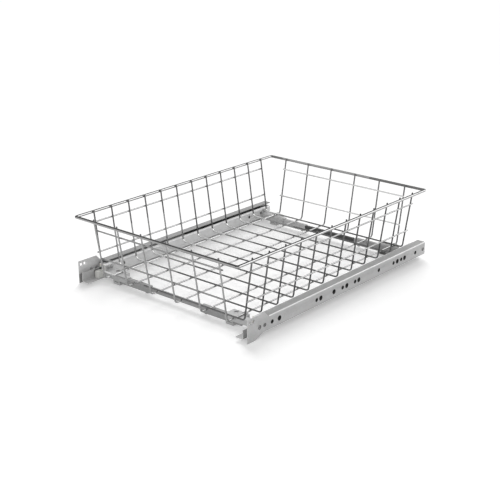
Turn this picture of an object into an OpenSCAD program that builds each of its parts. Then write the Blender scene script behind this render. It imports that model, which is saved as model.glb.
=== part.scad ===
// Pull-out cabinet basket on a pair of full-extension runners with telescopic crossbars.
// Millimetres, +Z up. The front is at -Y and the left side at -X.
// The origin is under the middle of the basket, level with its feet.

/* [Basket] */
// Distance from the cabinet's side to the rim wire's centre
rim_side_gap = 11.4; // [8:0.1:16]
// How far the rim wire's centre stands past each end of the rails
rim_over = 9.2; // [0:0.1:20]
// Height of the rim above the upper floor wires, centre to centre
basket_h = 104; // [70:1:200]
// Distance from the cabinet's side to the bends of the side wires
floor_side_gap = 30.9; // [29:0.1:40]
// Distance from each end of the rails to the bends of the length wires
floor_end_gap = 13.1; // [6:0.1:20]
// Diameter of the rim wire
rim_wire = 5; // [4:0.5:7]
// Diameter of the mesh wires
mesh_wire = 2.8; // [2.2:0.1:3.4]
// Bend radius at the rim's corners, to the wire's centre
rim_corner_r = 3; // [3:0.5:40]
// Bend radius of the mesh wires at the floor, to the wire's centre
floor_bend_r = 6; // [4:0.5:12]
// How far the upright wires stand above the rim's centre
wire_tip = 3; // [2:0.5:8]
// Number of side wires
side_wire_count = 12; // [6:1:12]
// Distance from the floor's end bends to the first and last side wires
end_wire_in = 15.5; // [12:0.5:24]
// Number of length wires
length_wire_count = 6; // [3:1:6]
// Distance from the floor's side bends to the outer length wires
outer_wire_in = 22.2; // [20:0.1:26]
// Drop from the rim's centre to the upper stringers
upper_stringer_drop = 17.7; // [10:0.1:30]
// Drop from the rim's centre to the lower stringers
lower_stringer_drop = 70.5; // [40:0.5:80]
// How far a stringer runs past the last upright wire
stringer_over = 3; // [1:0.5:6]

/* [Cabinet rails] */
// Distance between the outer faces of the two cabinet rails
cabinet_w = 387.2; // [380:0.2:420]
// Length of the cabinet rails
rail_len = 500; // [480:1:520]
// Thickness of the rails' sheet
rail_sheet = 1.2; // [1:0.1:1.5]
// Outer radius of the folds
fold_r = 2; // [1.6:0.1:3]
// Height of the web's lower edge above the feet
web_z = 8; // [6:0.5:8]
// Height of the web
web_h = 23.2; // [23:0.1:26]
// Width of the top flange
flange_w = 16; // [12:0.5:18]
// Height of the rear tab above the flange
tab_h = 8.8; // [6:0.1:14]
// Length of the rear tab's top
tab_len = 41; // [30:1:45]
// Length of the slope at the front of the rear tab
tab_slope = 10; // [4:1:20]
// Side of the square holes in the rear tab
tab_hole = 5; // [3:0.5:5.5]
// Distances of the square holes from the rear end
tab_hole_steps = [5.5, 13.6];
// Height of the square holes above the top flange
tab_hole_up = 2.2; // [1:0.1:3]
// Length of the foot under the rear end
rail_foot_len = 18.5; // [10:0.5:30]
// Length of the slope in front of the rear foot
rail_foot_slope = 18.5; // [8:0.5:30]
// Height of the screw holes above the web's lower edge
web_hole_up = 10.7; // [9:0.1:11]
// Diameter of the large screw holes
large_hole = 6.8; // [5:0.1:7]
// Diameter of the small screw holes
small_hole = 5; // [3:0.1:5.4]
// Distances of the large screw holes from the front end
large_hole_steps = [67.7, 91, 209.3, 244.2, 280.3, 316.5];
// Distances of the small screw holes from the front end
small_hole_steps = [32, 78.6, 103, 149, 220.2, 256, 327.6];
// Distance of the rear large screw hole from the rear end
large_hole_rear = 76.6; // [64:0.1:80]
// Distance of the rear small screw hole from the rear end
small_hole_rear = 58.7; // [50:0.1:62]

/* [Running tracks] */
// Distance from the cabinet rail's outer face to the track's wall
track_gap = 9; // [7.5:0.1:9]
// Height of the track's underside above the feet
track_z = 5; // [3:0.5:5]
// Height of the track's wall
track_h = 16; // [14:0.5:16]
// Width of the track's floor, with its wall
track_w = 15.6; // [15:0.1:18]
// Distance of the front rivet from the front end
front_rivet_in = 7; // [5:0.1:12]
// Distance of the last rivet from the rear end
rear_rivet_in = 28.6; // [24:0.1:30]
// Spacing of the two rear rivets
rear_rivet_pitch = 12.2; // [10:0.1:14]
// Distances of the welded spacers from the front end
spacer_steps = [125, 190, 300, 375];
// Diameter of the spacers
spacer_d = 7; // [5:0.5:7]
// Diameter of the rivets' shanks
rivet_d = 4.8; // [3:0.1:4.8]
// Length of the plastic buffer behind each middle rail
buffer_len = 22; // [4:0.5:26]
// Height of the plastic buffer
buffer_h = 12; // [6:0.5:12]

/* [Moving rails] */
// How far the basket pulls out
travel = 470; // [300:5:480]
// Distance from the cabinet rail's outer face to the drawer rail
drawer_gap = 11.2; // [11.2:0.1:12]
// Width of the drawer rail
drawer_w = 12.2; // [12:0.1:14]
// Height of the drawer rail's inner wall
drawer_wall_h = 20.6; // [17:0.1:20.8]
// Height of the drawer rail's outer lip
drawer_lip_h = 6.2; // [4:0.1:6.2]
// Distance of the drawer rail's rear end in front of the cabinet rail's
drawer_short = 40.5; // [34:0.5:48]
// Distance of the drawer rail's front end behind the cabinet rail's
drawer_setback = 8.5; // [2:0.5:20]
// Diameter of the holes in the drawer rail's inner wall
drawer_hole = 6; // [3:0.5:6]
// Distances of those holes from the drawer rail's front end
drawer_hole_steps = [28.3, 64.6, 406];
// Distance of the middle rail's rear end in front of the drawer rail's
middle_short = 8; // [4:0.5:16]
// Distance of the middle rail's front end behind the cabinet rail's
middle_setback = 12.5; // [8:0.5:24]
// Height of the middle rail
middle_h = 11.2; // [10:0.1:12]
// Width of the middle rail's lower flange
middle_low_w = 9; // [7:0.1:9]
// Width of the middle rail's upper flange
middle_top_w = 7.8; // [6:0.1:8.4]
// Diameter of the lower rollers
low_roller_d = 3.4; // [3:0.1:4]
// Diameter of the upper rollers
top_roller_d = 4.6; // [4:0.1:5]
// Length of the rollers
roller_len = 6; // [4:0.1:6]
// Number of rollers in a cage
roller_count = 12; // [4:1:14]
// Running gap above and below the rollers
roll_gap = 0.3; // [0.2:0.05:0.4]
// Length of each cage that stays unused at both ends of the travel
cage_margin = 15; // [5:1:30]
// Length of the plastic cap in the drawer rail's rear end
cap_len = 12; // [6:0.5:20]

/* [Soft close] */
// Width and height of the housing
housing_w = 7; // [6.6:0.1:7]
// Diameter of the housing's bore
housing_bore = 5.5; // [5:0.1:5.6]
// Distance of the housing's rear end from the cabinet rail's rear end
housing_setback = 54; // [54:1:80]
// Travel of the slider
slider_travel = 45; // [30:1:50]
// Length of the slider
slider_len = 22; // [14:1:30]
// Length of the slider's finger along the rail
finger_len = 6; // [4:0.5:10]
// Length of the spring at rest
spring_len = 68; // [60:1:80]
// Diameter of the spring's wire
spring_wire = 0.6; // [0.4:0.1:0.8]
// Number of turns of the spring
spring_turns = 14; // [8:1:16]
// Length of the damper's cylinder
damper_len = 64; // [58:1:70]
// Diameter of the damper's rod
damper_rod_d = 2; // [1.6:0.1:2.4]
// Length of the catch tab on the drawer rail
catch_len = 8; // [5:0.5:14]

/* [Crossbars] */
// Height of the brackets' top, which carries the basket
bracket_z = 17.4; // [16:0.1:19]
// Length of the brackets, from their inner end to the drawer rail
bracket_len = 57; // [50:0.5:60]
// Depth of the brackets' plate from front to rear
plate_d = 23; // [20:0.5:26]
// Length of the brackets' plate
plate_len = 33.5; // [30:0.5:36]
// Distance from the brackets' inner end to the plate's, before its shift
plate_in = 8; // [6:0.5:10]
// Shift of every plate and foot to the right
plate_shift = 8; // [0:0.5:8]
// Height of the lips under the plate's front edge and inner end
plate_lip_h = 8; // [3:0.5:9]
// Height of the brackets' side walls
bracket_wall_h = 9.5; // [8:0.1:11]
// Thickness of the crossbars' sheet
bar_sheet = 1.2; // [1:0.1:1.5]
// Slip between one section and the next
slip = 0.15; // [0.1:0.05:0.3]
// Distance from the floor's rear bend to the rear bar's rear face
rear_bar_in = 24.2; // [15:0.1:30]
// Distance from the floor's front bend to the front bar's rear face
front_bar_in = 23.6; // [23:0.1:30]
// Height of the sleeves
sleeve_h = 12; // [10:0.1:12.5]
// Depth of the sleeves from front to rear
sleeve_d = 9; // [8.5:0.1:10]
// Length of the sleeves
sleeve_len = 88; // [70:1:96]
// Length of each sleeve inside its bracket
sleeve_in = 34; // [20:1:40]
// Height of the middle bars
bar_h = 7.1; // [6:0.1:7.5]
// Length of each middle bar's end inside its sleeve
bar_in = 40; // [20:1:44]
// Diameter of the hole in each bracket's plate
clip_hole = 7.6; // [5:0.1:9]
// Distance of that hole from the plate's right end
clip_hole_in = 10.4; // [6:0.1:14]
// Distance of that hole from the plate's front edge
clip_hole_up = 6; // [5.8:0.1:6.4]
// Length of the feet across the width
foot_w = 16; // [10:0.5:17]
// Distance of the feet's middle from the brackets' inner ends, before their shift
foot_in = 18; // [18:0.5:24]
// Length of the slot in each foot's walls
foot_slot = 10; // [4:0.5:12]
// Height of the slot in each foot's walls
foot_slot_h = 1.8; // [1:0.1:2.4]
// Diameter of the lock screws' shanks
lock_screw_d = 3.5; // [2.5:0.1:3.8]
// Diameter of the lock screws' heads
lock_head_d = 6.8; // [5:0.1:8]
// Height of the lock screws' heads
lock_head_h = 2.4; // [1.5:0.1:3]
// Distance of the lock screws from the sleeves' inner ends
lock_screw_in = 9; // [6:0.5:16]
// Height of the bracket's upright flange above its plate
upright_h = 9; // [7:0.1:9.5]
// Width of the bracket's upright flange
upright_w = 15; // [12:0.5:16]
// Distance from the bar's rear face to the middle of the upright flange
upright_in = 13; // [12:0.5:14]
// Diameter of the bracket rivets' shanks
bracket_rivet_d = 4; // [2.5:0.1:4.5]
// Spacing of the two rivets in a bracket
bracket_rivet_pitch = 8; // [7:0.5:9]
// Height of the tongues that hold the outer length wires
tongue_h = 3.2; // [2:0.1:4]
// Length of the tongues
tongue_len = 6; // [3:0.5:8]

/* [Hidden] */
$fn = 32;

left = -1;
right = 1;
front = -1;
rear = 1;

// Clearances
weld_gap = 0.1;     // between wires that are welded where they cross
seat_gap = 0.1;     // between the basket's wires and what they rest on
fit_gap = 0.05;     // round a rivet or screw in its hole
run_gap = 0.4;      // between sliding pieces that never touch
eps = 0.5;          // how far a cut runs past the face that it opens

// Colours
zinc = [0.71, 0.71, 0.71];
zinc_dark = [0.51, 0.51, 0.51];
chrome = [0.50, 0.50, 0.50];
plastic_white = [0.88, 0.88, 0.86];
plastic_grey = [0.45, 0.46, 0.48];

// Runner section: across is measured inwards from the cabinet rail's outer face
half_w = cabinet_w / 2;
rim_w = cabinet_w - 2 * rim_side_gap;
rim_d = rail_len + 2 * rim_over;
floor_w = cabinet_w - 2 * floor_side_gap;
floor_d = rail_len - 2 * floor_end_gap;
side_wire_pitch = (floor_d - 2 * end_wire_in) / (side_wire_count - 1);
length_wire_pitch = (floor_w - 2 * outer_wire_in) / (length_wire_count - 1);
rail_front = -rail_len / 2;
rail_rear = rail_len / 2;
rail_top = web_z + web_h;
rivet_steps = [front_rivet_in, rail_len - rear_rivet_in - rear_rivet_pitch, rail_len - rear_rivet_in];
hole_z = web_z + web_hole_up;
track_floor_z = track_z + rail_sheet;
track_inner = track_gap + rail_sheet;
middle_z = track_floor_z + 2 * roll_gap + low_roller_d;
middle_top = middle_z + middle_h;
drawer_under = middle_top + 2 * roll_gap + top_roller_d;
drawer_top = drawer_under + rail_sheet;
drawer_inner = drawer_gap + drawer_w;
drawer_mid = drawer_gap + drawer_w / 2;
drawer_face_x = half_w - drawer_inner;
drawer_front = rail_front + drawer_setback;
drawer_rear = rail_rear - drawer_short;
middle_front = rail_front + middle_setback;
middle_rear = drawer_rear - middle_short;
low_cage_len = middle_rear - rail_front - travel / 2 - 2 * cage_margin;
low_cage_mid = (middle_rear + rail_front) / 2;
top_cage_len = drawer_rear - middle_front - travel / 2 - 2 * cage_margin;
top_cage_mid = (drawer_rear + middle_front) / 2;

// Soft close, along the bore from the rear
wall = (housing_w - housing_bore) / 2;
housing_across = rail_sheet + run_gap;
bore_across = housing_across + housing_w / 2;
bore_z = rail_top - rail_sheet - housing_w / 2;
housing_rear = rail_rear - housing_setback;
damper_rear = housing_rear - wall;
damper_front = damper_rear - damper_len;
slider_rear = damper_front - fit_gap;
slider_front = slider_rear - slider_len;
spring_rear = slider_front - fit_gap;
spring_front = spring_rear - spring_len;
housing_front = spring_front - fit_gap - wall;
finger_rear = slider_front + finger_len;
damper_bore = housing_bore - 2 * fit_gap - 1.4;

// Crossbars
bracket_out = drawer_face_x - slip;
bracket_inner = bracket_out - bracket_len;
sleeve_out = bracket_inner + sleeve_in;
sleeve_inner = sleeve_out - sleeve_len;
bar_half = sleeve_inner + bar_in;
sleeve_top = bracket_z - bar_sheet - slip;
cap_d = sleeve_d + 2 * bar_sheet + 2 * slip;
bar_top = sleeve_top - bar_sheet - slip;
bar_d = sleeve_d - 2 * bar_sheet - 2 * slip;
rear_face = floor_d / 2 - rear_bar_in;
front_face = -floor_d / 2 + front_bar_in;
upright_rivet_z = bracket_z + upright_h / 2;
outer_wire_x = floor_w / 2 - outer_wire_in;

// Basket
length_z = bracket_z + seat_gap + mesh_wire / 2;
side_z = length_z + mesh_wire + weld_gap;
rim_z = side_z + basket_h;
length_h = rim_z - length_z;
inset = (rim_wire + mesh_wire) / 2 + weld_gap;
side_lean = atan((rim_w / 2 - inset - floor_w / 2) / basket_h);
end_lean = atan((rim_d / 2 - inset - floor_d / 2) / length_h);
layer = mesh_wire + weld_gap;

function bar_face(end) = end == rear ? rear_face : front_face;
function step_y(d) = rail_front + d;

module at_side(side) mirror([side == left ? 1 : 0, 0, 0]) children();

// Draws a section given in (x, z) from y0 back to y1
module along_y(y0, y1) translate([0, y1, 0]) rotate([90, 0, 0]) linear_extrude(y1 - y0) children();

// Draws a section given in (y, z) from x0 to x1
module along_x(x0, x1) translate([x0, 0, 0]) rotate([90, 0, 90]) linear_extrude(x1 - x0) children();

// A rectangle of a runner's section: across0 to across1 from the cabinet face, z0 to z1
module strip(across0, across1, z0, z1)
    translate([half_w - across1, z0]) square([across1 - across0, z1 - z0]);

module block(across0, across1, y0, y1, z0, z1)
    translate([half_w - across1, y0, z0]) cube([across1 - across0, y1 - y0, z1 - z0]);

// What a fold takes off a square outer corner at (x, z), which points towards (dx, dz)
module fold_cut(x, z, dx, dz) translate([x - dx * fold_r, z - dz * fold_r])
    difference() {
        translate([dx > 0 ? 0 : -fold_r - eps, dz > 0 ? 0 : -fold_r - eps]) square(fold_r + eps);
        circle(fold_r);
    }

// A rod or bore along X through (across, y, z)
module rod_x(across0, across1, y, z, d)
    translate([half_w - across1, y, z]) rotate([0, 90, 0]) cylinder(d = d, h = across1 - across0);

// A rod or bore along Y in the soft-close unit
module rod_y(y0, y1, d)
    translate([half_w - bore_across, y0, bore_z]) rotate([-90, 0, 0]) cylinder(d = d, h = y1 - y0);

// ---------------------------------------------------------------- cabinet side

module cabinet_rail(side) color(zinc) at_side(side) difference() {
    union() {
        along_y(rail_front, rail_rear - tab_len - tab_slope) difference() {
            union() {
                strip(0, rail_sheet, web_z, rail_top);
                strip(0, flange_w, rail_top - rail_sheet, rail_top);
            }
            fold_cut(half_w, rail_top, 1, 1);
        }
        along_x(half_w - rail_sheet, half_w) polygon([
            [rail_rear - tab_len - tab_slope - 0.01, web_z],
            [rail_rear - rail_foot_len - rail_foot_slope, web_z],
            [rail_rear - rail_foot_len, 0],
            [rail_rear, 0],
            [rail_rear, rail_top + tab_h],
            [rail_rear - tab_len, rail_top + tab_h],
            [rail_rear - tab_len - tab_slope, rail_top - fold_r],
            [rail_rear - tab_len - tab_slope - 0.01, rail_top - fold_r]
        ]);
    }
    for (d = concat(large_hole_steps, rail_len - large_hole_rear))
        rod_x(-eps, rail_sheet + eps, step_y(d), hole_z, large_hole);
    for (d = concat(small_hole_steps, rail_len - small_hole_rear))
        rod_x(-eps, rail_sheet + eps, step_y(d), hole_z, small_hole);
    for (d = rivet_steps) rod_x(-eps, rail_sheet + eps, step_y(d), hole_z, rivet_d);
    for (d = tab_hole_steps)
        block(-eps, rail_sheet + eps, rail_rear - d - tab_hole / 2, rail_rear - d + tab_hole / 2,
              rail_top + tab_hole_up - tab_hole / 2, rail_top + tab_hole_up + tab_hole / 2);
}

module running_track(side) color(zinc) at_side(side) difference() {
    union() {
        along_y(rail_front, rail_rear) difference() {
            union() {
                strip(track_gap, track_inner, track_z, track_z + track_h);
                strip(track_gap, track_gap + track_w, track_z, track_floor_z);
            }
            fold_cut(half_w - track_gap, track_z, 1, -1);
        }
        // Lug that keeps the roller cage in
        block(drawer_mid - middle_low_w / 2, drawer_mid + middle_low_w / 2,
              rail_front, rail_front + rail_sheet, track_floor_z, track_floor_z + low_roller_d / 2);
    }
    for (d = rivet_steps) rod_x(track_gap - eps, track_inner + eps, step_y(d), hole_z, rivet_d);
}

module spacer_rivets(side) color(zinc_dark) at_side(side) {
    for (d = rivet_steps) {
        rod_x(0, track_inner, step_y(d), hole_z, rivet_d - 2 * fit_gap);
        rod_x(rail_sheet, track_gap, step_y(d), hole_z, spacer_d);
        rod_x(track_inner, track_inner + rail_sheet / 2, step_y(d), hole_z, (spacer_d + rivet_d) / 2);
    }
    for (d = spacer_steps) rod_x(rail_sheet, track_gap, step_y(d), hole_z, spacer_d);
}

module end_buffer(side) color(plastic_white) at_side(side)
    block(drawer_gap + rail_sheet + run_gap, drawer_inner - rail_sheet - run_gap,
          middle_rear + run_gap, middle_rear + run_gap + buffer_len,
          track_floor_z, track_floor_z + buffer_h);

// ---------------------------------------------------------------- soft close

finger_h = 2.4;

module softclose_housing(side) color(plastic_grey) at_side(side) difference() {
    block(housing_across, housing_across + housing_w, housing_front, housing_rear,
          bore_z - housing_w / 2, bore_z + housing_w / 2);
    rod_y(housing_front + wall, housing_rear - wall, housing_bore);
    // Slot for the slider's finger
    block(bore_across, housing_across + housing_w + eps, slider_front - slider_travel - run_gap,
          finger_rear + run_gap, bore_z - finger_h / 2 - run_gap / 2, bore_z + finger_h / 2 + run_gap / 2);
}

module damper_cylinder(side) color(zinc_dark) at_side(side) difference() {
    rod_y(damper_front, damper_rear, housing_bore - 2 * fit_gap);
    rod_y(damper_front + 2, damper_rear - 2, damper_bore);
    rod_y(damper_front - eps, damper_front + 2 + eps, damper_rod_d + 4 * fit_gap);
}

module softclose_slider(side) color(plastic_white) at_side(side) difference() {
    union() {
        rod_y(slider_front, slider_rear, housing_bore - 4 * fit_gap);
        block(bore_across, drawer_gap - run_gap, slider_front, finger_rear,
              bore_z - finger_h / 2, bore_z + finger_h / 2);
    }
    rod_y(slider_rear - slider_len / 2, slider_rear + eps, damper_rod_d);
}

module damper_rod(side) color(zinc_dark) at_side(side) {
    rod_y(slider_rear - slider_len / 2 + fit_gap, damper_rear - 6, damper_rod_d - 2 * fit_gap);
    rod_y(damper_rear - 6, damper_rear - 2 - run_gap, damper_bore - 4 * fit_gap);
}

function spring_frame(k, y0, y1, r, turns, seg) =
    let (a = 360 * k / seg, y = y0 + (y1 - y0) * k / (turns * seg),
         rise = (y1 - y0) / (turns * 360), slope = atan(rise * 180 / PI / r))
    [[half_w - bore_across + r * cos(a), y, bore_z + r * sin(a)],
     [cos(a), 0, sin(a)],
     [sin(slope) * sin(a), cos(slope), -sin(slope) * cos(a)]];

module softclose_spring(side) {
    seg = 12;
    sides = 6;
    count = spring_turns * seg;
    r = housing_bore / 2 - spring_wire / 2 - 3 * fit_gap;
    rings = [for (k = [0:count]) let (f = spring_frame(k, spring_front + spring_wire / 2 + fit_gap,
                 spring_rear - spring_wire / 2 - fit_gap, r, spring_turns, seg))
             [for (j = [0:sides - 1]) let (b = 360 * j / sides)
              f[0] + spring_wire / 2 * (cos(b) * f[1] + sin(b) * f[2])]];
    color(zinc_dark) at_side(side) polyhedron(
        points = [for (ring = rings) for (p = ring) p],
        faces = concat(
            [[for (j = [0:sides - 1]) j]],
            [[for (j = [0:sides - 1]) count * sides + sides - 1 - j]],
            [for (k = [0:count - 1]) for (j = [0:sides - 1])
                [k * sides + j, (k + 1) * sides + j, (k + 1) * sides + (j + 1) % sides]],
            [for (k = [0:count - 1]) for (j = [0:sides - 1])
                [k * sides + j, (k + 1) * sides + (j + 1) % sides, k * sides + (j + 1) % sides]]));
}

// ---------------------------------------------------------------- moving rails

module middle_rail(side) color(zinc) at_side(side) along_y(middle_front, middle_rear) {
    strip(drawer_mid - middle_low_w / 2, drawer_mid + middle_low_w / 2, middle_z, middle_z + rail_sheet);
    strip(drawer_mid - rail_sheet / 2, drawer_mid + rail_sheet / 2, middle_z, middle_top);
    strip(drawer_mid - middle_top_w / 2, drawer_mid + middle_top_w / 2, middle_top - rail_sheet, middle_top);
}

function roller_y(k, mid, len) = mid + len * ((k + 0.5) / roller_count - 0.5);

module cage(z, d, mid, len, w) difference() {
    block(drawer_mid - w / 2, drawer_mid + w / 2, mid - len / 2, mid + len / 2,
          z + roll_gap, z + d - roll_gap);
    for (k = [0:roller_count - 1])
        block(drawer_mid - roller_len / 2 - fit_gap, drawer_mid + roller_len / 2 + fit_gap,
              roller_y(k, mid, len) - d / 2 - 2 * fit_gap, roller_y(k, mid, len) + d / 2 + 2 * fit_gap,
              z, z + d);
}

module rollers(z, d, mid, len)
    for (k = [0:roller_count - 1])
        rod_x(drawer_mid - roller_len / 2, drawer_mid + roller_len / 2, roller_y(k, mid, len), z + d / 2, d);

module lower_cage(side) color(plastic_white) at_side(side)
    cage(track_floor_z + roll_gap, low_roller_d, low_cage_mid, low_cage_len, middle_low_w);
module lower_rollers(side) color(zinc_dark) at_side(side)
    rollers(track_floor_z + roll_gap, low_roller_d, low_cage_mid, low_cage_len);
module upper_cage(side) color(plastic_white) at_side(side)
    cage(middle_top + roll_gap, top_roller_d, top_cage_mid, top_cage_len, middle_top_w);
module upper_rollers(side) color(zinc_dark) at_side(side)
    rollers(middle_top + roll_gap, top_roller_d, top_cage_mid, top_cage_len);

module drawer_rail(side) color(zinc) at_side(side) difference() {
    along_y(drawer_front, drawer_rear) difference() {
        union() {
            strip(drawer_gap, drawer_inner, drawer_under, drawer_top);
            strip(drawer_gap, drawer_gap + rail_sheet, drawer_top - drawer_lip_h, drawer_top);
            strip(drawer_inner - rail_sheet, drawer_inner, drawer_top - drawer_wall_h, drawer_top);
        }
        fold_cut(half_w - drawer_gap, drawer_top, 1, 1);
        fold_cut(half_w - drawer_inner, drawer_top, -1, 1);
    }
    for (d = drawer_hole_steps)
        rod_x(drawer_inner - rail_sheet - eps, drawer_inner + eps, drawer_front + d, hole_z, drawer_hole);
    for (end = [front, rear]) for (k = [-1, 1])
        rod_x(drawer_inner - rail_sheet - eps, drawer_inner + eps,
              bar_face(end) - upright_in + k * bracket_rivet_pitch / 2, upright_rivet_z, bracket_rivet_d);
}

module rail_end_cap(side) color(plastic_white) at_side(side) {
    plug_z = drawer_under - top_roller_d;
    block(drawer_gap + rail_sheet + fit_gap, drawer_inner - rail_sheet - fit_gap,
          drawer_rear - cap_len, drawer_rear, plug_z, drawer_under - fit_gap);
    block(drawer_gap, drawer_inner, drawer_rear, drawer_rear + 2, plug_z, drawer_top);
    block(drawer_inner - rail_sheet, drawer_inner, drawer_rear, drawer_rear + 2,
          drawer_top - drawer_wall_h, drawer_top);
}

module catch_tab(side) color(zinc_dark) at_side(side)
    block(housing_across + housing_w + run_gap, drawer_mid,
          slider_front + finger_len / 2 - catch_len / 2, slider_front + finger_len / 2 + catch_len / 2,
          drawer_top, drawer_top + 1);

// ---------------------------------------------------------------- crossbars

// An inverted channel in (y, z) whose rear face is at y and whose top is at z
module channel(y, z, d, h, t) difference() {
    translate([y - d, z - h]) square([d, h]);
    translate([y - d + t, z - h - eps]) square([d - 2 * t, h - t + eps]);
}

// The left end of a plate
function plate_x(side) = side * (bracket_inner + plate_in + plate_len / 2) - plate_len / 2 + plate_shift;

module bracket(side, end) color(zinc) {
    y = bar_face(end);
    mid = y - upright_in;
    plate_y = y - plate_d;
    under = bracket_z - bar_sheet;
    end_x = side == right ? plate_x(side) : plate_x(side) + plate_len - bar_sheet;
    at_side(side) {
        along_x(bracket_inner, bracket_out) channel(y, bracket_z, cap_d, bracket_wall_h, bar_sheet);
        // Upright flange against the drawer rail
        difference() {
            translate([bracket_out - bar_sheet, mid - upright_w / 2, under])
                cube([bar_sheet, upright_w, bar_sheet + upright_h]);
            for (k = [-1, 1])
                translate([bracket_out - bar_sheet - eps, mid + k * bracket_rivet_pitch / 2, upright_rivet_z])
                    rotate([0, 90, 0]) cylinder(d = bracket_rivet_d, h = bar_sheet + 2 * eps);
        }
    }
    // Plate in front of the bar, with its two lips
    difference() {
        translate([plate_x(side), plate_y, under]) cube([plate_len, plate_d - bar_sheet, bar_sheet]);
        translate([plate_x(side) + plate_len - clip_hole_in, plate_y + clip_hole_up, under - eps])
            cylinder(d = clip_hole, h = bar_sheet + 2 * eps);
    }
    translate([plate_x(side), plate_y, bracket_z - plate_lip_h]) cube([plate_len, bar_sheet, plate_lip_h]);
    translate([end_x, plate_y, bracket_z - plate_lip_h]) cube([bar_sheet, plate_d - cap_d, plate_lip_h]);
    // Tongues on both sides of the outer length wire
    for (k = [-1, 1])
        translate([side * outer_wire_x + k * (mesh_wire / 2 + run_gap + bar_sheet / 2) - bar_sheet / 2,
                   plate_y + 2 * bar_sheet, under])
            cube([bar_sheet, tongue_len, bar_sheet + tongue_h]);
}

module sleeve(side, end) color(zinc_dark) at_side(side) {
    y = bar_face(end) - bar_sheet - slip;
    difference() {
        along_x(sleeve_inner, sleeve_out) difference() {
            translate([y - sleeve_d, sleeve_top - sleeve_h]) square([sleeve_d, sleeve_h]);
            translate([y - sleeve_d + bar_sheet, sleeve_top - sleeve_h + bar_sheet])
                square([sleeve_d - 2 * bar_sheet, sleeve_h - 2 * bar_sheet]);
        }
        translate([sleeve_inner + lock_screw_in, y - sleeve_d / 2, sleeve_top - sleeve_h - eps])
            cylinder(d = lock_screw_d, h = bar_sheet + 2 * eps);
    }
}

module crossbar(end) color(zinc_dark)
    along_x(-bar_half, bar_half)
        channel(bar_face(end) - 2 * (bar_sheet + slip), bar_top, bar_d, bar_h, bar_sheet);

module bracket_feet() color(zinc)
    for (end = [front, rear]) for (side = [left, right])
        translate([side * (bracket_inner + foot_in) + plate_shift - foot_w / 2, 0, 0]) difference() {
            y = bar_face(end);
            foot_h = bracket_z - bracket_wall_h - fit_gap;
            groove_z = sleeve_top - sleeve_h - fit_gap;
            translate([0, y - cap_d, 0]) cube([foot_w, cap_d, foot_h]);
            translate([-eps, y - cap_d + bar_sheet, groove_z])
                cube([foot_w + 2 * eps, cap_d - 2 * bar_sheet, foot_h]);
            translate([(foot_w - foot_slot) / 2, y - cap_d - eps, groove_z])
                cube([foot_slot, cap_d + 2 * eps, foot_slot_h]);
        }

module bracket_rivets() color(zinc_dark)
    for (end = [front, rear]) for (side = [left, right]) for (k = [-1, 1])
        at_side(side) translate([bracket_out - bar_sheet,
                                 bar_face(end) - upright_in + k * bracket_rivet_pitch / 2, upright_rivet_z])
            rotate([0, 90, 0]) {
                cylinder(d = bracket_rivet_d - 2 * fit_gap, h = bar_sheet + slip + rail_sheet);
                translate([0, 0, -1]) cylinder(d = bracket_rivet_d + 2.4, h = 1);
            }

module lock_screws() color(zinc_dark)
    for (end = [front, rear]) for (side = [left, right])
        at_side(side) translate([sleeve_inner + lock_screw_in,
                                 bar_face(end) - bar_sheet - slip - sleeve_d / 2, sleeve_top - sleeve_h]) {
            translate([0, 0, -lock_head_h]) cylinder(d = lock_head_d, h = lock_head_h);
            cylinder(d = lock_screw_d - 2 * fit_gap, h = sleeve_h - 2 * bar_sheet - slip);
        }

// ---------------------------------------------------------------- basket wires

// A U of wire in the XZ plane: floor at z = 0 between its bends, sides that lean out, ends at height top.
// The bends are a hair thicker than the straights, which run a little way into them.
module u_wire(floor, lean, top, r, d) {
    turn = 90 - lean;
    cut = r * tan(turn / 2);
    run = top / cos(lean) - cut;
    translate([-floor / 2 + cut - bend_lap, 0, 0]) rotate([0, 90, 0])
        cylinder(d = d, h = floor - 2 * (cut - bend_lap));
    for (side = [left, right]) at_side(side) translate([floor / 2 - cut, 0, r]) rotate([90, 0, 0]) {
        rotate_extrude(angle = turn, start = -90) translate([r, 0]) circle(d = d + bend_swell);
        rotate([0, 0, -lean]) translate([r, -bend_lap, 0]) rotate([-90, 0, 0])
            cylinder(d = d, h = run + bend_lap);
    }
}
bend_swell = 0.02;
bend_lap = 0.1;

module basket_rim() color(chrome) translate([0, 0, rim_z]) {
    x = rim_w / 2;
    y = rim_d / 2;
    for (k = [-1, 1]) {
        translate([-x + rim_corner_r, k * y, 0]) rotate([0, 90, 0])
            cylinder(d = rim_wire, h = rim_w - 2 * rim_corner_r);
        translate([k * x, -y + rim_corner_r, 0]) rotate([-90, 0, 0])
            cylinder(d = rim_wire, h = rim_d - 2 * rim_corner_r);
    }
    for (k = [0:3]) {
        centre_x = (k == 0 || k == 3 ? 1 : -1) * (x - rim_corner_r);
        centre_y = (k < 2 ? 1 : -1) * (y - rim_corner_r);
        translate([centre_x, centre_y, 0]) rotate([0, 0, 90 * k])
            rotate_extrude(angle = 90) translate([rim_corner_r, 0]) circle(d = rim_wire);
    }
}

module side_wires() color(chrome)
    for (k = [0:side_wire_count - 1])
        translate([0, (k - (side_wire_count - 1) / 2) * side_wire_pitch, side_z])
            u_wire(floor_w, side_lean, basket_h + wire_tip, floor_bend_r, mesh_wire);

module length_wires() color(chrome)
    for (k = [0:length_wire_count - 1])
        translate([(k - (length_wire_count - 1) / 2) * length_wire_pitch, 0, length_z]) rotate([0, 0, 90])
            u_wire(floor_d, end_lean, length_h + wire_tip, floor_bend_r, mesh_wire);

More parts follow.
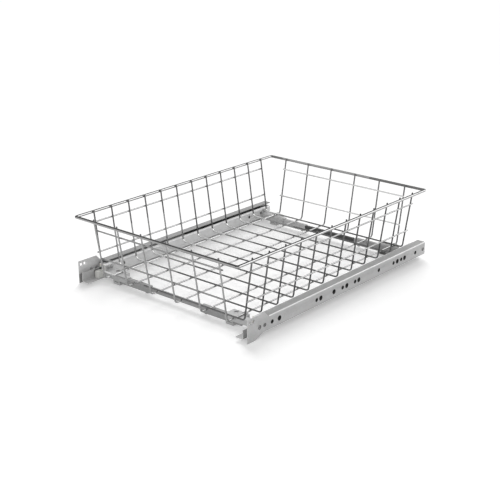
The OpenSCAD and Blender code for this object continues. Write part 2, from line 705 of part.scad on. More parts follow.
module side_stringers() color(chrome) {
    len = (side_wire_count - 1) * side_wire_pitch + 2 * stringer_over;
    for (side = [left, right]) for (drop = [upper_stringer_drop, lower_stringer_drop])
        translate([side * (floor_w / 2 + (basket_h - drop) * tan(side_lean) + layer / cos(side_lean)),
                   -len / 2, rim_z - drop]) rotate([-90, 0, 0]) cylinder(d = mesh_wire, h = len);
}

module end_stringers() color(chrome) {
    len = (length_wire_count - 1) * length_wire_pitch + 2 * stringer_over;
    for (end = [front, rear]) for (drop = [upper_stringer_drop, lower_stringer_drop])
        translate([-len / 2, end * (floor_d / 2 + (length_h - drop) * tan(end_lean) - layer / cos(end_lean)),
                   rim_z - drop]) rotate([0, 90, 0]) cylinder(d = mesh_wire, h = len);
}

// ---------------------------------------------------------------- nodes

cabinet_rail(left);  // cabinet_rail_left
cabinet_rail(right);  // cabinet_rail_right
running_track(left);  // running_track_left
running_track(right);  // running_track_right
spacer_rivets(left);  // spacer_rivets_left
spacer_rivets(right);  // spacer_rivets_right
end_buffer(left);  // end_buffer_left
end_buffer(right);  // end_buffer_right
softclose_housing(left);  // softclose_housing_left
softclose_housing(right);  // softclose_housing_right
damper_cylinder(left);  // damper_cylinder_left
damper_cylinder(right);  // damper_cylinder_right
softclose_slider(left);  // softclose_slider_left
softclose_slider(right);  // softclose_slider_right
damper_rod(left);  // damper_rod_left
damper_rod(right);  // damper_rod_right
softclose_spring(left);  // softclose_spring_left
softclose_spring(right);  // softclose_spring_right
middle_rail(left);  // middle_rail_left
middle_rail(right);  // middle_rail_right
lower_cage(left);  // lower_cage_left
lower_cage(right);  // lower_cage_right
lower_rollers(left);  // lower_rollers_left
lower_rollers(right);  // lower_rollers_right
upper_cage(left);  // upper_cage_left
upper_cage(right);  // upper_cage_right
upper_rollers(left);  // upper_rollers_left
upper_rollers(right);  // upper_rollers_right
drawer_rail(left);  // drawer_rail_left
drawer_rail(right);  // drawer_rail_right
rail_end_cap(left);  // rail_end_cap_left
rail_end_cap(right);  // rail_end_cap_right
catch_tab(left);  // catch_tab_left
catch_tab(right);  // catch_tab_right
bracket(left, front);  // bracket_front_left
bracket(right, front);  // bracket_front_right
bracket(left, rear);  // bracket_rear_left
bracket(right, rear);  // bracket_rear_right
sleeve(left, front);  // sleeve_front_left
sleeve(right, front);  // sleeve_front_right
sleeve(left, rear);  // sleeve_rear_left
sleeve(right, rear);  // sleeve_rear_right
crossbar(front);  // crossbar_front
crossbar(rear);  // crossbar_rear
bracket_feet();
bracket_rivets();
lock_screws();
basket_rim();
side_wires();
length_wires();
side_stringers();
end_stringers();
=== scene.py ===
import math
import bmesh
import bpy
from mathutils import Matrix, Vector


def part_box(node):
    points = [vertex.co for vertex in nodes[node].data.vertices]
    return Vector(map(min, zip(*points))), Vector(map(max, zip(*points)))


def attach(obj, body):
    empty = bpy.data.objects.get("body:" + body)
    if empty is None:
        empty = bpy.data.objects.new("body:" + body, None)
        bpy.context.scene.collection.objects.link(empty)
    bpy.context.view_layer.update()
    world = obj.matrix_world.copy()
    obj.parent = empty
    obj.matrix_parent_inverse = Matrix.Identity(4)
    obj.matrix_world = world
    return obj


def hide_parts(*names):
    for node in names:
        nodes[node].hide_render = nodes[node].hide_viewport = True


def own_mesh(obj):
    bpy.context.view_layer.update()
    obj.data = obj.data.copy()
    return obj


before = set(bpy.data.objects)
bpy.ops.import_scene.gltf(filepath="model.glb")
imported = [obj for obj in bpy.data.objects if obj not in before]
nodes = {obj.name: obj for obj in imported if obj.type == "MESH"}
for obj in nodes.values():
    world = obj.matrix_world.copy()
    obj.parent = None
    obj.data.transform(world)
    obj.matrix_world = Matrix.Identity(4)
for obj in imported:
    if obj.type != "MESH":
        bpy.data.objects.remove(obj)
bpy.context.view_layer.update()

# ---------------------------------------------------------------- camera
# A long lens looks down on the basket's rear left corner. It stands where the spacing of the
# wires puts it, about 1.9 m away.
MM = 0.001
camera_data = bpy.data.cameras.new("camera")
camera_data.lens = 77.97
camera_data.sensor_width = 36
camera_data.clip_end = 50
camera = bpy.data.objects.new("camera", camera_data)
bpy.context.scene.collection.objects.link(camera)
camera_turn = math.radians(40.693)
camera_drop = math.radians(20.035)
camera.location = Vector((-1173.9, 1384.3, 699.9)) * MM
looking = Vector((math.sin(camera_turn) * math.cos(camera_drop),
                  -math.cos(camera_turn) * math.cos(camera_drop),
                  -math.sin(camera_drop)))
camera.rotation_euler = looking.to_track_quat("-Z", "Y").to_euler()
bpy.context.scene.camera = camera
bpy.context.scene.view_settings.view_transform = "Standard"


# ---------------------------------------------------------------- floor, world and lamps
# A white sweep of paper under the object and plain white light from all round. A broad soft sun
# makes the shadow, a weak lamp fills the rear, and a bright panel shows only in the wires.
def linear(hex_code):
    channels = [int(hex_code[k:k + 2], 16) / 255 for k in (0, 2, 4)]
    return [c / 12.92 if c <= 0.04045 else ((c + 0.055) / 1.055) ** 2.4 for c in channels] + [1]


def add_node(tree, kind, settings=None, values=None, links=None):
    node = tree.nodes.new(kind)
    for name, value in (settings or {}).items():
        setattr(node, name, value)
    for name, value in (values or {}).items():
        node.inputs[name].default_value = value
    for name, (source, output) in (links or {}).items():
        tree.links.new(source.outputs[output], node.inputs[name])
    return node


def new_material(name):
    material = bpy.data.materials.new(name)
    material.use_nodes = True
    material.node_tree.nodes.clear()
    return material, material.node_tree


world = bpy.data.worlds.new("studio")
world.use_nodes = True
world.node_tree.nodes.clear()
tree = world.node_tree
seen = add_node(tree, "ShaderNodeLightPath")
mirrored = add_node(tree, "ShaderNodeMath", settings={"operation": "MAXIMUM"},
                    links={0: (seen, "Is Camera Ray"), 1: (seen, "Is Glossy Ray")})
shown = add_node(tree, "ShaderNodeMath", settings={"operation": "MAXIMUM"},
                 links={0: (mirrored, 0), 1: (seen, "Is Transmission Ray")})
light = add_node(tree, "ShaderNodeBackground", values={"Color": (1, 1, 1, 1), "Strength": 0.35})
white = add_node(tree, "ShaderNodeBackground", values={"Color": (1, 1, 1, 1), "Strength": 1.0})
mixed = add_node(tree, "ShaderNodeMixShader", links={0: (shown, 0), 1: (light, 0), 2: (white, 0)})
add_node(tree, "ShaderNodeOutputWorld", links={"Surface": (mixed, 0)})
bpy.context.scene.world = world

paper, tree = new_material("white_paper")
seen = add_node(tree, "ShaderNodeLightPath")
mirrored = add_node(tree, "ShaderNodeMath", settings={"operation": "MAXIMUM"},
                    links={0: (seen, "Is Camera Ray"), 1: (seen, "Is Glossy Ray")})
lit = add_node(tree, "ShaderNodeBsdfDiffuse", values={"Color": linear("f2f2f2")})
glow = add_node(tree, "ShaderNodeEmission", values={"Color": (1, 1, 1, 1), "Strength": 0.27})
bright = add_node(tree, "ShaderNodeAddShader", links={0: (lit, 0), 1: (glow, 0)})
mixed = add_node(tree, "ShaderNodeMixShader", links={0: (mirrored, 0), 1: (lit, 0), 2: (bright, 0)})
add_node(tree, "ShaderNodeOutputMaterial", links={"Surface": (mixed, 0)})
bm = bmesh.new()
bmesh.ops.create_grid(bm, x_segments=1, y_segments=1, size=12)
floor_mesh = bpy.data.meshes.new("floor")
bm.to_mesh(floor_mesh)
bm.free()
floor_mesh.materials.append(paper)
floor = bpy.data.objects.new("floor", floor_mesh)
bpy.context.scene.collection.objects.link(floor)
floor.location.z = -0.5 * MM

overhead = bpy.data.lights.new("overhead", "SUN")
overhead.energy = 3.25
overhead.angle = math.radians(45)
lamp = bpy.data.objects.new("overhead", overhead)
bpy.context.scene.collection.objects.link(lamp)
lamp.rotation_euler = Vector((-0.6, 0.7, -0.50)).to_track_quat("-Z", "Y").to_euler()
lamp.visible_glossy = False
lamps = [("rear_fill", (-1.0, 1.3, 1.0), 1.4, 1.0, 8.0, True, False),
         ("front_strip", (-0.92, -1.28, 0.86), 2.2, 1.4, 26.0, False, True)]
for name, place, across, height, power, on_matt, in_gloss in lamps:
    lamp_data = bpy.data.lights.new(name, "AREA")
    lamp_data.shape = "RECTANGLE"
    lamp_data.size = across
    lamp_data.size_y = height
    lamp_data.energy = power
    lamp = bpy.data.objects.new(name, lamp_data)
    bpy.context.scene.collection.objects.link(lamp)
    lamp.location = place
    lamp.rotation_euler = (-Vector(place)).to_track_quat("-Z", "Y").to_euler()
    lamp.visible_camera = False
    lamp.visible_diffuse = on_matt
    lamp.visible_glossy = in_gloss


# ---------------------------------------------------------------- basket wires
# Drawn mild-steel wire, welded bare into a basket and then plated together with nickel and
# chromium. The plating is a mirror with faint orange peel. Lit and shaded copies of it, from
# dark to clear, paint the wires' reflections and shade: face by face and wire by wire, some
# are painted lighter and some darker.
PEEL = 1 / (1.6 * MM)
CLOUD = 1 / (28 * MM)


def chrome_plating(name, shades):
    material, tree = new_material(name)
    place = add_node(tree, "ShaderNodeTexCoord")
    peel = add_node(tree, "ShaderNodeTexNoise", values={"Scale": PEEL, "Detail": 2.0},
                    links={"Vector": (place, "Object")})
    cloud = add_node(tree, "ShaderNodeTexNoise", values={"Scale": CLOUD, "Detail": 3.0},
                     links={"Vector": (place, "Object")})
    dulled = add_node(tree, "ShaderNodeMapRange",
                      values={"From Min": 0.35, "From Max": 0.7, "To Min": 0.20, "To Max": 0.30},
                      links={"Value": (cloud, "Fac")})
    tint = add_node(tree, "ShaderNodeMix", settings={"data_type": "RGBA"},
                    values={"A": linear(shades[0]), "B": linear(shades[1])}, links={"Factor": (cloud, "Fac")})
    ripple = add_node(tree, "ShaderNodeBump", values={"Strength": 0.015, "Distance": 0.0003},
                      links={"Height": (peel, "Fac")})
    metal = add_node(tree, "ShaderNodeBsdfPrincipled", values={"Metallic": 1.0},
                     links={"Base Color": (tint, "Result"), "Roughness": (dulled, "Result"),
                            "Normal": (ripple, "Normal")})
    add_node(tree, "ShaderNodeOutputMaterial", links={"Surface": (metal, 0)})
    return material


# Lit and shaded copies of the chrome, named by how much painted light or shade they carry.
chrome = {name: chrome_plating("chrome_plated_wire_" + name, shades)
          for name, shades in (("thin", ("5a5a5a", "6c6c6c")), ("even", ("6a6a6a", "7a7a7a")),
                               ("thick", ("848484", "9a9a9a")), ("bright", ("8e8e8e", "a6a6a6")),
                               ("pale", ("a4a4a4", "b8b8b8")), ("clear", ("c8c8c8", "dcdcdc")),
                               ("smoked", ("3c3c3c", "4a4a4a")), ("dark", ("1c1c1c", "262626")))}
RIM_WIRE = 5.0 * MM
MESH_WIRE = 2.8 * MM
RIM_SIDES = 24
WIRE_SIDES = 16
TIP_STEP = 0.25 * MM
CORNER_R = 3 * MM
BEND_R = 6 * MM
WELD_GAP = 0.1 * MM
rim_low, rim_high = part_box("basket_rim")
rim_x = rim_high[0] - RIM_WIRE / 2
rim_y = rim_high[1] - RIM_WIRE / 2
rim_z = (rim_low[2] + rim_high[2]) / 2


def is_edge(part):
    return isinstance(part, bmesh.types.BMEdge)


def is_vert(part):
    return isinstance(part, bmesh.types.BMVert)


def wire_end(bm, at, along, thickness, sides):
    turned = Vector(along).to_track_quat("Z", "Y").to_matrix().to_4x4()
    ring = bmesh.ops.create_circle(bm, segments=sides, radius=thickness / 2,
                                   matrix=Matrix.Translation(at) @ turned)["verts"]
    return list({edge for vert in ring for edge in vert.link_edges})


def draw_on(bm, end, step, narrow=1.0):
    made = bmesh.ops.extrude_edge_only(bm, edges=end)["geom"]
    verts = [part for part in made if is_vert(part)]
    bmesh.ops.translate(bm, verts=verts, vec=step)
    middle = sum((vert.co for vert in verts), Vector()) / len(verts)
    bmesh.ops.scale(bm, verts=verts, vec=(narrow,) * 3, space=Matrix.Translation(-middle))
    return [part for part in made if is_edge(part) and set(part.verts) <= set(verts)]


def bend_on(bm, end, centre, axis, angle, steps, advance=(0, 0, 0)):
    ring = list({vert for edge in end for vert in edge.verts})
    made = bmesh.ops.spin(bm, geom=ring + end, cent=centre, axis=axis, angle=angle, steps=steps, dvec=advance)
    return [part for part in made["geom_last"] if is_edge(part)]


def crop(bm, end, along):
    for narrow in (0.96, 0.80):
        end = draw_on(bm, end, Vector(along) * TIP_STEP, narrow)
    bmesh.ops.edgeloop_fill(bm, edges=end)


def split_at(bm, point, normal, faces=None):
    """Cuts the faces, or those given, where a plane meets them, so that a finish can end there."""
    parts = list(bm.verts) + list(bm.edges) + list(bm.faces)
    if faces is not None:
        parts = faces + list({part for face in faces for part in list(face.edges) + list(face.verts)})
    bmesh.ops.bisect_plane(bm, geom=parts, plane_co=point, plane_no=normal)


SHARP_FROM = math.radians(21)


def put_in_scene(bm, name, body, slot, *materials):
    bmesh.ops.recalc_face_normals(bm, faces=bm.faces)
    mesh = bpy.data.meshes.new(name)
    bm.to_mesh(mesh)
    bm.free()
    mesh.shade_smooth()
    mesh.set_sharp_from_angle(angle=SHARP_FROM)
    for material in materials:
        mesh.materials.append(material)
    piece = bpy.data.objects.new(name, mesh)
    bpy.context.scene.collection.objects.link(piece)
    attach(piece, body)
    return piece


# The rim is one round of thick wire, bent at four corners. Its ends are butt-welded in the
# middle of the rear side, which leaves a low collar there. Its reflections are painted: dark on
# the upper faces of the left, right and rear sides and light below, and on the front side light
# in the middle and darker at the ends.
COLLAR_SWELL = 1.10
COLLAR_PEAK = 0.6 * MM
COLLAR_FOOT = 1.0 * MM
BRIGHT_FROM = -60 * MM
BRIGHT_TO = 150 * MM
UP_AND_RIGHT = (0.49, 0, 0.87)
RIGHT_OVER = 0.3
LEFT_OVER = 0.15
REAR_OVER = 0.5
bm = bmesh.new()
end = wire_end(bm, (0, rim_y, rim_z), (1, 0, 0), RIM_WIRE, RIM_SIDES)
end = draw_on(bm, end, (COLLAR_PEAK, 0, 0), COLLAR_SWELL)
end = draw_on(bm, end, (COLLAR_FOOT, 0, 0), 1 / COLLAR_SWELL)
for sx, sy in ((1, 1), (1, -1), (-1, -1), (-1, 1)):
    centre = Vector((sx * (rim_x - CORNER_R), sy * (rim_y - CORNER_R), rim_z))
    at = sum((vert.co for edge in end for vert in edge.verts), Vector()) / (2 * len(end))
    along = centre - at
    along = Vector((along.x, 0, 0)) if sx == sy else Vector((0, along.y, 0))
    end = draw_on(bm, end, along)
    end = bend_on(bm, end, centre, (0, 0, -1), math.pi / 2, 8)
end = draw_on(bm, end, (rim_x - CORNER_R - COLLAR_FOOT - COLLAR_PEAK, 0, 0))
end = draw_on(bm, end, (COLLAR_FOOT, 0, 0), COLLAR_SWELL)
end = draw_on(bm, end, (COLLAR_PEAK, 0, 0), 1 / COLLAR_SWELL)
bmesh.ops.remove_doubles(bm, verts=bm.verts, dist=0.05 * MM)
bmesh.ops.recalc_face_normals(bm, faces=bm.faces)
for x in (BRIGHT_FROM, BRIGHT_TO):
    split_at(bm, (x, 0, 0), (1, 0, 0))
shades = ["even", "bright", "smoked", "dark"]
for face in bm.faces:
    middle = face.calc_center_median()
    turned_up = face.normal.dot(UP_AND_RIGHT)
    if middle.x > rim_x - CORNER_R:
        shade = "smoked" if turned_up > RIGHT_OVER else "bright"
    elif middle.x < CORNER_R - rim_x:
        shade = "dark" if turned_up > LEFT_OVER else "bright"
    elif middle.y > 0:
        shade = "smoked" if face.normal.z > REAR_OVER else "bright"
    else:
        shade = "bright" if BRIGHT_FROM < middle.x < BRIGHT_TO else "even"
    face.material_index = shades.index(shade)
rim = put_in_scene(bm, "rim_wire", "basket", "chrome_wire", *[chrome[shade] for shade in shades])
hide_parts("basket_rim")

# Twelve side wires and six length wires are bent to a U, with a bend at each side of the floor.
# The length wires lie under the side wires. Every wire ends a little above the rim, cropped.
side_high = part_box("side_wires")[1]
length_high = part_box("length_wires")[1]
BASKET_H = 104 * MM
WIRE_TIP = 3 * MM
SIDE_WIRES = 12
LENGTH_WIRES = 6
side_z = rim_z - BASKET_H
length_z = side_z - MESH_WIRE - WELD_GAP
floor_x = 162.7 * MM
floor_y = 236.9 * MM
inset = (RIM_WIRE + MESH_WIRE) / 2 + WELD_GAP
side_lean = math.atan((rim_x - inset - floor_x) / BASKET_H)
length_lean = math.atan((rim_y - inset - floor_y) / (rim_z - length_z))


def u_wire(bm, half_floor, lean, height, z, turned, shift):
    before = set(bm.verts)
    turn = math.pi / 2 - lean
    cut = BEND_R * math.tan(turn / 2)
    run = height / math.cos(lean) - cut
    down = Vector((math.sin(lean), 0, -math.cos(lean)))
    up = Vector((math.sin(lean), 0, math.cos(lean)))
    top = Vector((-half_floor, 0, 0)) - down * (run + cut)
    end = wire_end(bm, top, down, MESH_WIRE, WIRE_SIDES)
    crop(bm, end, -down)
    end = draw_on(bm, end, down * run)
    end = bend_on(bm, end, (cut - half_floor, 0, BEND_R), (0, -1, 0), turn, 6)
    end = draw_on(bm, end, (2 * (half_floor - cut), 0, 0))
    end = bend_on(bm, end, (half_floor - cut, 0, BEND_R), (0, -1, 0), turn, 6)
    end = draw_on(bm, end, up * run)
    crop(bm, end, up)
    verts = [vert for vert in bm.verts if vert not in before]
    bmesh.ops.rotate(bm, verts=verts, cent=(0, 0, 0), matrix=Matrix.Rotation(turned, 3, "Z"))
    bmesh.ops.translate(bm, verts=verts, vec=Vector(shift) + Vector((0, 0, z)))


def spread(count, last):
    return [(2 * k / (count - 1) - 1) * last for k in range(count)]


side_ys = spread(SIDE_WIRES, side_high[1] - MESH_WIRE / 2)
length_xs = spread(LENGTH_WIRES, length_high[0] - MESH_WIRE / 2)
LIGHTER_FROM = 60 * MM
LIGHTEST_FROM = 130 * MM
LIGHTER_TOP = side_z + 65 * MM
bm = bmesh.new()
for y in side_ys:
    u_wire(bm, floor_x, side_lean, BASKET_H + WIRE_TIP, side_z, 0, (0, y, 0))
# Painted reflections and shade: the side wires are painted dark, lighter right of the middle on the floor and
# low on the right uprights of the rear wires, and lightest on the floor near the right.
split_at(bm, (LIGHTER_FROM, 0, 0), (1, 0, 0))
split_at(bm, (LIGHTEST_FROM, 0, 0), (1, 0, 0))
split_at(bm, (0, 0, LIGHTER_TOP), (0, 0, 1))
shades = ["thin", "thick", "clear"]
for face in bm.faces:
    middle = face.calc_center_median()
    on_floor = middle.z < side_z + BEND_R
    if middle.x > LIGHTEST_FROM and on_floor:
        shade = "clear"
    elif middle.x > LIGHTER_FROM and (on_floor or 0 < middle.y and middle.z < LIGHTER_TOP):
        shade = "thick"
    else:
        shade = "thin"
    face.material_index = shades.index(shade)
side_wires = put_in_scene(bm, "side_wires_bent", "basket", "chrome_wire",
                          *[chrome[shade] for shade in shades])
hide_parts("side_wires")

bm = bmesh.new()
length_h = BASKET_H + WIRE_TIP + side_z - length_z
for x in length_xs:
    u_wire(bm, floor_y, length_lean, length_h, length_z, math.pi / 2, (x, 0, 0))
# Painted reflections: the front uprights are painted darker, the rear uprights light, the floor runs a middle
# grey, and the floor run of the rightmost wire lighter.
shades = ["bright", "even", "thick", "pale"]
for face in bm.faces:
    middle = face.calc_center_median()
    if middle.y < BEND_R - floor_y:
        shade = "even"
    elif middle.y < floor_y - BEND_R:
        shade = "pale" if middle.x > length_xs[-1] - MESH_WIRE else "thick"
    else:
        shade = "bright"
    face.material_index = shades.index(shade)
length_wires = put_in_scene(bm, "length_wires_bent", "basket", "chrome_wire",
                            *[chrome[shade] for shade in shades])
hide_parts("length_wires")

# Two stringers on each side join the upright wires: outside them on the left and right, inside
# them at the front and rear. They are straight wires, cropped just past the last upright.
bm = bmesh.new()
stringer_drops = (17.7 * MM, 70.5 * MM)
layer = MESH_WIRE + WELD_GAP
string_xs = [floor_x + (BASKET_H - drop) * math.tan(side_lean) + layer / math.cos(side_lean)
             for drop in stringer_drops]
string_ys = [floor_y + (rim_z - length_z - drop) * math.tan(length_lean) - layer / math.cos(length_lean)
             for drop in stringer_drops]


def straight_wire(bm, start, stop):
    along = (Vector(stop) - Vector(start)).normalized()
    end = wire_end(bm, start, along, MESH_WIRE, WIRE_SIDES)
    crop(bm, end, -along)
    crop(bm, draw_on(bm, end, Vector(stop) - Vector(start)), along)


PAST_UPRIGHT = 2.5 * MM
side_reach = side_ys[-1] + PAST_UPRIGHT
end_reach = length_xs[-1] + PAST_UPRIGHT
for drop, x, y in zip(stringer_drops, string_xs, string_ys):
    for side in (-1, 1):
        straight_wire(bm, (side * x, -side_reach, rim_z - drop), (side * x, side_reach, rim_z - drop))
        straight_wire(bm, (-end_reach, side * y, rim_z - drop), (end_reach, side * y, rim_z - drop))
past_sides = side_reach + MM
# Painted reflections: the front stringers are painted lightest, the left and rear ones darker, and the right
# ones light.
shades = ["bright", "clear", "thick"]
for face in bm.faces:
    middle = face.calc_center_median()
    on_left = middle.x < -end_reach and abs(middle.y) < side_reach
    if middle.y < -past_sides:
        shade = "clear"
    else:
        shade = "thick" if on_left or middle.y > past_sides else "bright"
    face.material_index = shades.index(shade)
stringers = put_in_scene(bm, "stringer_wires", "basket", "chrome_wire", *[chrome[shade] for shade in shades])
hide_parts("side_stringers", "end_stringers")

# Where two wires cross they are pressed together and resistance-welded. The squeezed metal is a
# small bead in the corner between them, and plating rounds it.
bm = bmesh.new()


def weld_bead(bm, at, size):
    bead = bmesh.ops.create_uvsphere(bm, u_segments=8, v_segments=5, radius=1.0)["verts"]
    bmesh.ops.scale(bm, verts=bead, vec=size)
    bmesh.ops.translate(bm, verts=bead, vec=at)


FLAT_BEAD = Vector((1.45, 1.45, 0.75)) * MM
RIM_BEAD = Vector((0.9, 1.7, 2.0)) * MM
for x in length_xs:
    for y in side_ys:
        weld_bead(bm, (x, y, side_z - layer / 2), FLAT_BEAD)
for side in (-1, 1):
    for y in side_ys:
        for drop, x in zip(stringer_drops, string_xs):
            weld_bead(bm, (side * (x - layer / 2), y, rim_z - drop), FLAT_BEAD.zyx)
        weld_bead(bm, (side * (rim_x - RIM_WIRE / 2), y, rim_z), RIM_BEAD)
    for x in length_xs:
        for drop, y in zip(stringer_drops, string_ys):
            weld_bead(bm, (x, side * (y + layer / 2), rim_z - drop), FLAT_BEAD.xzy)
        weld_bead(bm, (x, side * (rim_y - RIM_WIRE / 2), rim_z), RIM_BEAD.yxz)
put_in_scene(bm, "weld_beads", "basket", "chrome_wire", chrome["thick"])


# ---------------------------------------------------------------- cabinet rails
# Roll-formed steel strip, 1.2 mm thick, with one fold and punched holes, zinc plated and
# passivated. It is satin grey with fine rolling marks and cloudy patches. A painted highlight
# lightens its sheared edges and the middle of its fold. Painted shade blackens the holes and a
# ring round them, and the inside of the web low down toward the front; the rear of that is a
# darker painted grey, the flange top is painted darker and the upper inside of the web lighter.
def plated_sheet(name, grain, shades, roughness):
    material, tree = new_material(name)
    place = add_node(tree, "ShaderNodeTexCoord")
    fine = [1 / (0.7 * MM) if axis != grain else 1 / (40 * MM) for axis in "XYZ"]
    strip = add_node(tree, "ShaderNodeMapping", settings={"vector_type": "POINT"},
                     values={"Scale": fine}, links={"Vector": (place, "Object")})
    rolled = add_node(tree, "ShaderNodeTexNoise", values={"Scale": 1.0, "Detail": 3.0},
                      links={"Vector": (strip, "Vector")})
    patches = add_node(tree, "ShaderNodeTexNoise", values={"Scale": 1 / (16 * MM), "Detail": 4.0},
                       links={"Vector": (place, "Object")})
    crystals = add_node(tree, "ShaderNodeTexVoronoi", values={"Scale": 1 / (2.2 * MM)},
                        links={"Vector": (place, "Object")})
    shade = add_node(tree, "ShaderNodeMix", settings={"data_type": "RGBA"},
                     values={"A": linear(shades[0]), "B": linear(shades[1])},
                     links={"Factor": (patches, "Fac")})
    spangle = add_node(tree, "ShaderNodeMix", settings={"data_type": "RGBA", "blend_type": "OVERLAY"},
                       values={"Factor": 0.05}, links={"A": (shade, "Result"), "B": (crystals, "Color")})
    neutral = add_node(tree, "ShaderNodeHueSaturation", values={"Saturation": 0.25},
                       links={"Color": (spangle, "Result")})
    gloss = add_node(tree, "ShaderNodeMapRange",
                     values={"From Min": 0.3, "From Max": 0.7,
                             "To Min": roughness[0], "To Max": roughness[1]},
                     links={"Value": (rolled, "Fac")})
    relief = add_node(tree, "ShaderNodeBump", values={"Strength": 0.18, "Distance": 0.0002},
                      links={"Height": (rolled, "Fac")})
    metal = add_node(tree, "ShaderNodeBsdfPrincipled", values={"Metallic": 0.4},
                     links={"Base Color": (neutral, "Color"), "Roughness": (gloss, "Result"),
                            "Normal": (relief, "Normal")})
    add_node(tree, "ShaderNodeOutputMaterial", links={"Surface": (metal, 0)})
    return material


def take_copy(node):
    bm = bmesh.new()
    bm.from_mesh(nodes[node].data)
    bmesh.ops.remove_doubles(bm, verts=bm.verts, dist=0.001 * MM)
    bmesh.ops.dissolve_limit(bm, angle_limit=math.radians(1), verts=bm.verts, edges=bm.edges)
    return bm


EDGE_FROM = math.radians(40)


def ease_edges(bm, width, steps=2):
    sharp = [edge for edge in bm.edges if len(edge.link_faces) == 2 and edge.calc_face_angle() > EDGE_FROM]
    bmesh.ops.bevel(bm, geom=sharp, offset=width, offset_type="OFFSET", affect="EDGES", segments=steps,
                    profile=0.5, clamp_overlap=True, material=-1)


SHEET_EDGE = 0.22 * MM
# A sheared face is narrow and long, and a facet of a punched hole is small
SHEARED_W = 1.3 * MM
SHEARED_ROUND = 20 * MM
HOLE_FACET = 6 * MM
RAIL_OUTSIDE = 193.5 * MM
SHADE_RING = 1.0 * MM


# Paints a highlight: sheared edges, which are narrow and long, and the long facets turned half round a fold
# or a bevel get the lighter edge finish.
def mark_edge_highlights(bm, finishes):
    for face in bm.faces:
        round_fold = min(abs(face.normal.x), abs(face.normal.z))
        narrow = 2 * face.calc_area() < SHEARED_W * face.calc_perimeter()
        if narrow and face.calc_perimeter() > SHEARED_ROUND and not 0.02 < round_fold < 0.5:
            face.material_index = finishes.index(zinc_edge_highlight)


# Paints shade: the small facets inside the punched holes, and a ring round each hole on the rail's outer
# face, get the painted black shade.
def darken_holes(bm, finishes):
    dark = finishes.index(painted_black)
    for face in bm.faces:
        if face.calc_perimeter() < HOLE_FACET and sum(not edge.is_convex for edge in face.edges) >= 2:
            face.material_index = dark
    rims = [edge for edge in bm.edges
            if edge.is_convex and all(abs(vert.co.x) > RAIL_OUTSIDE for vert in edge.verts)
            and sorted(face.material_index for face in edge.link_faces) == [0, dark]]
    ring_faces = bmesh.ops.bevel(bm, geom=rims, offset=SHADE_RING, offset_type="OFFSET", affect="EDGES",
                           segments=1, profile=0.5, clamp_overlap=False, material=-1)["faces"]
    for face in ring_faces:
        face.material_index = dark


zinc_rail = plated_sheet("zinc_plated_rail_sheet", "Y", ("b2b2b2", "c4c4c4"), (0.50, 0.68))
# A lighter zinc, the painted highlight on edges and folds.
zinc_edge_highlight = plated_sheet("zinc_plated_painted_edge_highlight", "Y", ("bcbcbc", "d0d0d0"), (0.40, 0.55))
# A darker grey, painted where shade or a dark reflection falls, and a lighter one, painted as light on the
# upper inside of the cabinet rails and also used for the whole drawer rails.
zinc_painted_shade = plated_sheet("zinc_plated_sheet_painted_shade", "Y", ("949494", "a4a4a4"), (0.50, 0.68))
zinc_light = plated_sheet("zinc_plated_sheet_bright", "Y", ("cecece", "dedede"), (0.50, 0.68))
# Near-black, painted where shade falls: in holes and in the narrow gaps between the rails.
painted_black, tree = new_material("painted_black_shade")
place = add_node(tree, "ShaderNodeTexCoord")
film = add_node(tree, "ShaderNodeTexNoise", values={"Scale": 1 / (9 * MM), "Detail": 4.0},
                links={"Vector": (place, "Object")})
shade = add_node(tree, "ShaderNodeMix", settings={"data_type": "RGBA"},
                 values={"A": linear("080808"), "B": linear("141414")}, links={"Factor": (film, "Fac")})
gloss = add_node(tree, "ShaderNodeMapRange", values={"To Min": 0.35, "To Max": 0.6},
                 links={"Value": (film, "Fac")})
metal = add_node(tree, "ShaderNodeBsdfPrincipled", values={"Metallic": 0.2, "Specular IOR Level": 0.3},
                 links={"Base Color": (shade, "Result"), "Roughness": (gloss, "Result")})
add_node(tree, "ShaderNodeOutputMaterial", links={"Surface": (metal, 0)})
SHADE_TOP = 17 * MM
SHADE_END = 10 * MM
WEB_INSIDE = 192 * MM
FLANGE_REACH = 185 * MM
FLANGE_UNDER = 29 * MM
FLANGE_FACE = 30 * MM
finishes = [zinc_rail, zinc_edge_highlight, painted_black, zinc_painted_shade, zinc_light]
for side, sign in (("left", -1), ("right", 1)):
    bm = take_copy("cabinet_rail_" + side)
    darken_holes(bm, finishes)
    for point, normal in (((0, 0, SHADE_TOP), (0, 0, 1)), ((0, SHADE_END, 0), (0, 1, 0))):
        inner = [face for face in bm.faces if face.normal.x * sign < -0.99
                 and (abs(face.calc_center_median().x) > WEB_INSIDE
                      or face.calc_center_median().z > FLANGE_UNDER)]
        split_at(bm, point, normal, inner)
    ease_edges(bm, SHEET_EDGE)
    mark_edge_highlights(bm, finishes)
    # Painted light and shade: the web's inside is lighter above the cut. Below it, and on the flange's inner
    # edge, it is painted black toward the front and a darker grey at the rear. The flange top is painted a
    # darker grey as a dark reflection.
    for face in bm.faces:
        middle = face.calc_center_median()
        inward = face.normal.x * sign < -0.99
        finish = finishes[face.material_index]
        if inward and abs(middle.x) > WEB_INSIDE and middle.z > SHADE_TOP:
            finish = zinc_light
        elif inward and (abs(middle.x) > WEB_INSIDE
                         or middle.z > FLANGE_UNDER and abs(middle.x) < FLANGE_REACH):
            finish = painted_black if middle.y < SHADE_END else zinc_painted_shade
        elif face.normal.z > 0.99 and middle.z > FLANGE_FACE and finish == zinc_rail:
            finish = zinc_painted_shade
        face.material_index = finishes.index(finish)
    rail = put_in_scene(bm, "cabinet_rail_pressed_" + side, "cabinet_side", "zinc", *finishes)
    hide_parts("cabinet_rail_" + side)

